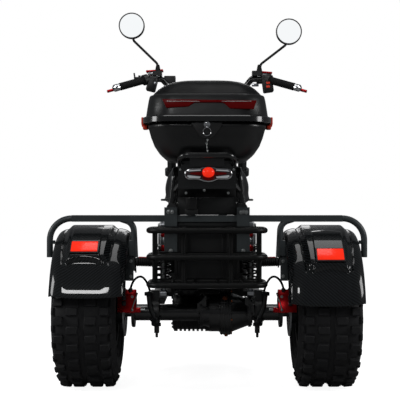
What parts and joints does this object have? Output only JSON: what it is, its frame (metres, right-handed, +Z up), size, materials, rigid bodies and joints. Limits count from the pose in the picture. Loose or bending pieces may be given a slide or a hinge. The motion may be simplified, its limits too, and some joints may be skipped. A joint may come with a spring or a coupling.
{
  "type": "electric motorized trike",
  "caption": "Three-wheeled electric fat-tyre scooter with a steered front wheel, driven rear axle, rear basket, rack and lidded top box.",
  "frame": {"origin": "on the floor, under the middle of the machine's length and width", "axes": "+X to the rider's right, +Y forwards, +Z up"},
  "size_m": [0.976, 1.9, 1.3525],
  "materials": {
    "tyre": "matt black tyre rubber",
    "rim": "satin black lacquered cast alloy",
    "brake_disc": "ground stainless steel",
    "frame_paint": "satin black powder coat",
    "gloss_frame_paint": "gloss black paint",
    "black_plastic": "fine-grained black moulding",
    "box_plastic": "satin black moulding",
    "saddle_leather": "black grained vinyl",
    "fender_skin": "clear-coated black twill",
    "red_lens": "moulded red lens",
    "red_metal": "red anodised aluminium",
    "lamp_chrome": "vacuum-plated housing",
    "motor_alloy": "black lacquered cast alloy",
    "shock_alloy": "silver and red anodised",
    "rubber": "matt black rubber",
    "mirror": "silvered glass",
    "headlamp_shell": "gloss black shell"
  },
  "bodies": {
    "chassis": {"main_frame": "frame_paint", "battery_case": "black_plastic", "deck": "frame_paint", "saddle": "saddle_leather", "axle_housing": "frame_paint", "drive_motor": "motor_alloy", "swing_arms": "frame_paint", "shocks": "shock_alloy", "shock_springs": "gloss_frame_paint", "rear_calipers": "red_metal", "rear_fender_left": "fender_skin", "rear_fender_right": "fender_skin", "fender_reflectors": "red_lens", "bumper": "frame_paint", "basket": "gloss_frame_paint", "basket_bars": "gloss_frame_paint", "rear_rack": "gloss_frame_paint", "tail_lamp": "lamp_chrome", "box_base": "box_plastic", "foot_pegs": "rubber", "brake_hoses": "rubber"},
    "fork": {"fork_clamps": "frame_paint", "fork_legs": "gloss_frame_paint", "front_fender": "fender_skin", "front_caliper": "red_metal", "headlamp": "headlamp_shell", "handlebar": "gloss_frame_paint", "grips": "rubber", "controls": "black_plastic", "levers": "red_metal", "mirrors": "black_plastic", "mirror_glass": "mirror"},
    "front_wheel": {"front_tyre": "tyre", "front_rim": "rim", "front_disc": "brake_disc"},
    "rear_left_wheel": {"rear_left_tyre": "tyre", "rear_left_rim": "rim", "rear_left_disc": "brake_disc"},
    "rear_right_wheel": {"rear_right_tyre": "tyre", "rear_right_rim": "rim", "rear_right_disc": "brake_disc"},
    "box_lid": {"box_lid": "box_plastic", "lid_reflector": "red_lens", "box_latches": "red_lens"}
  },
  "joints": [
    {"name": "steering", "type": "hinge", "parent": "chassis", "child": "fork", "pos_m": [0, 0.37411, 0.78379], "axis": [0, -0.4695, 0.8829], "range_deg": [-35, 35]},
    {"name": "front_wheel_spin", "type": "hinge", "parent": "fork", "child": "front_wheel", "pos_m": [0, 0.719, 0.231], "axis": [1, 0, 0], "continuous": true},
    {"name": "rear_left_wheel_spin", "type": "hinge", "parent": "chassis", "child": "rear_left_wheel", "pos_m": [-0.368, -0.661, 0.231], "axis": [1, 0, 0], "continuous": true},
    {"name": "rear_right_wheel_spin", "type": "hinge", "parent": "chassis", "child": "rear_right_wheel", "pos_m": [0.368, -0.661, 0.231], "axis": [1, 0, 0], "continuous": true},
    {"name": "box_lid_hinge", "type": "hinge", "parent": "chassis", "child": "box_lid", "pos_m": [0, -0.553, 0.808], "axis": [-1, 0, 0], "range_deg": [0, 75]}
  ]
}
